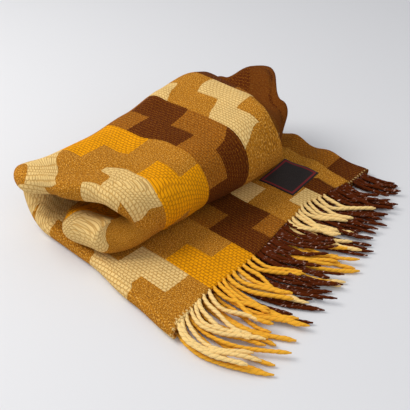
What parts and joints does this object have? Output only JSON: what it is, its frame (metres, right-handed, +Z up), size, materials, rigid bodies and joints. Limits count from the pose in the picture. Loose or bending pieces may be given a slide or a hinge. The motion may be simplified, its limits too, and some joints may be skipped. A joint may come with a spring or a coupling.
{
  "type": "folded wool blanket",
  "caption": "Thick wool throw with a stepped zigzag weave and a fringed hem, folded in three along its length and folded over on itself.",
  "frame": {"origin": "on the floor under the centre of the folded blanket's box", "axes": "+X towards the fringe, +Y along the hem towards the label's side, +Z up"},
  "size_m": [0.4126, 0.4388, 0.1281],
  "materials": {
    "wool_cloth": "matte",
    "wool_yarn": "matte",
    "woven_label": "matte"
  },
  "bodies": {
    "root": {"blanket": "wool_cloth", "fringe_top": "wool_yarn", "fringe_middle": "wool_yarn", "fringe_lower": "wool_yarn", "label": "woven_label"}
  },
  "joints": []
}
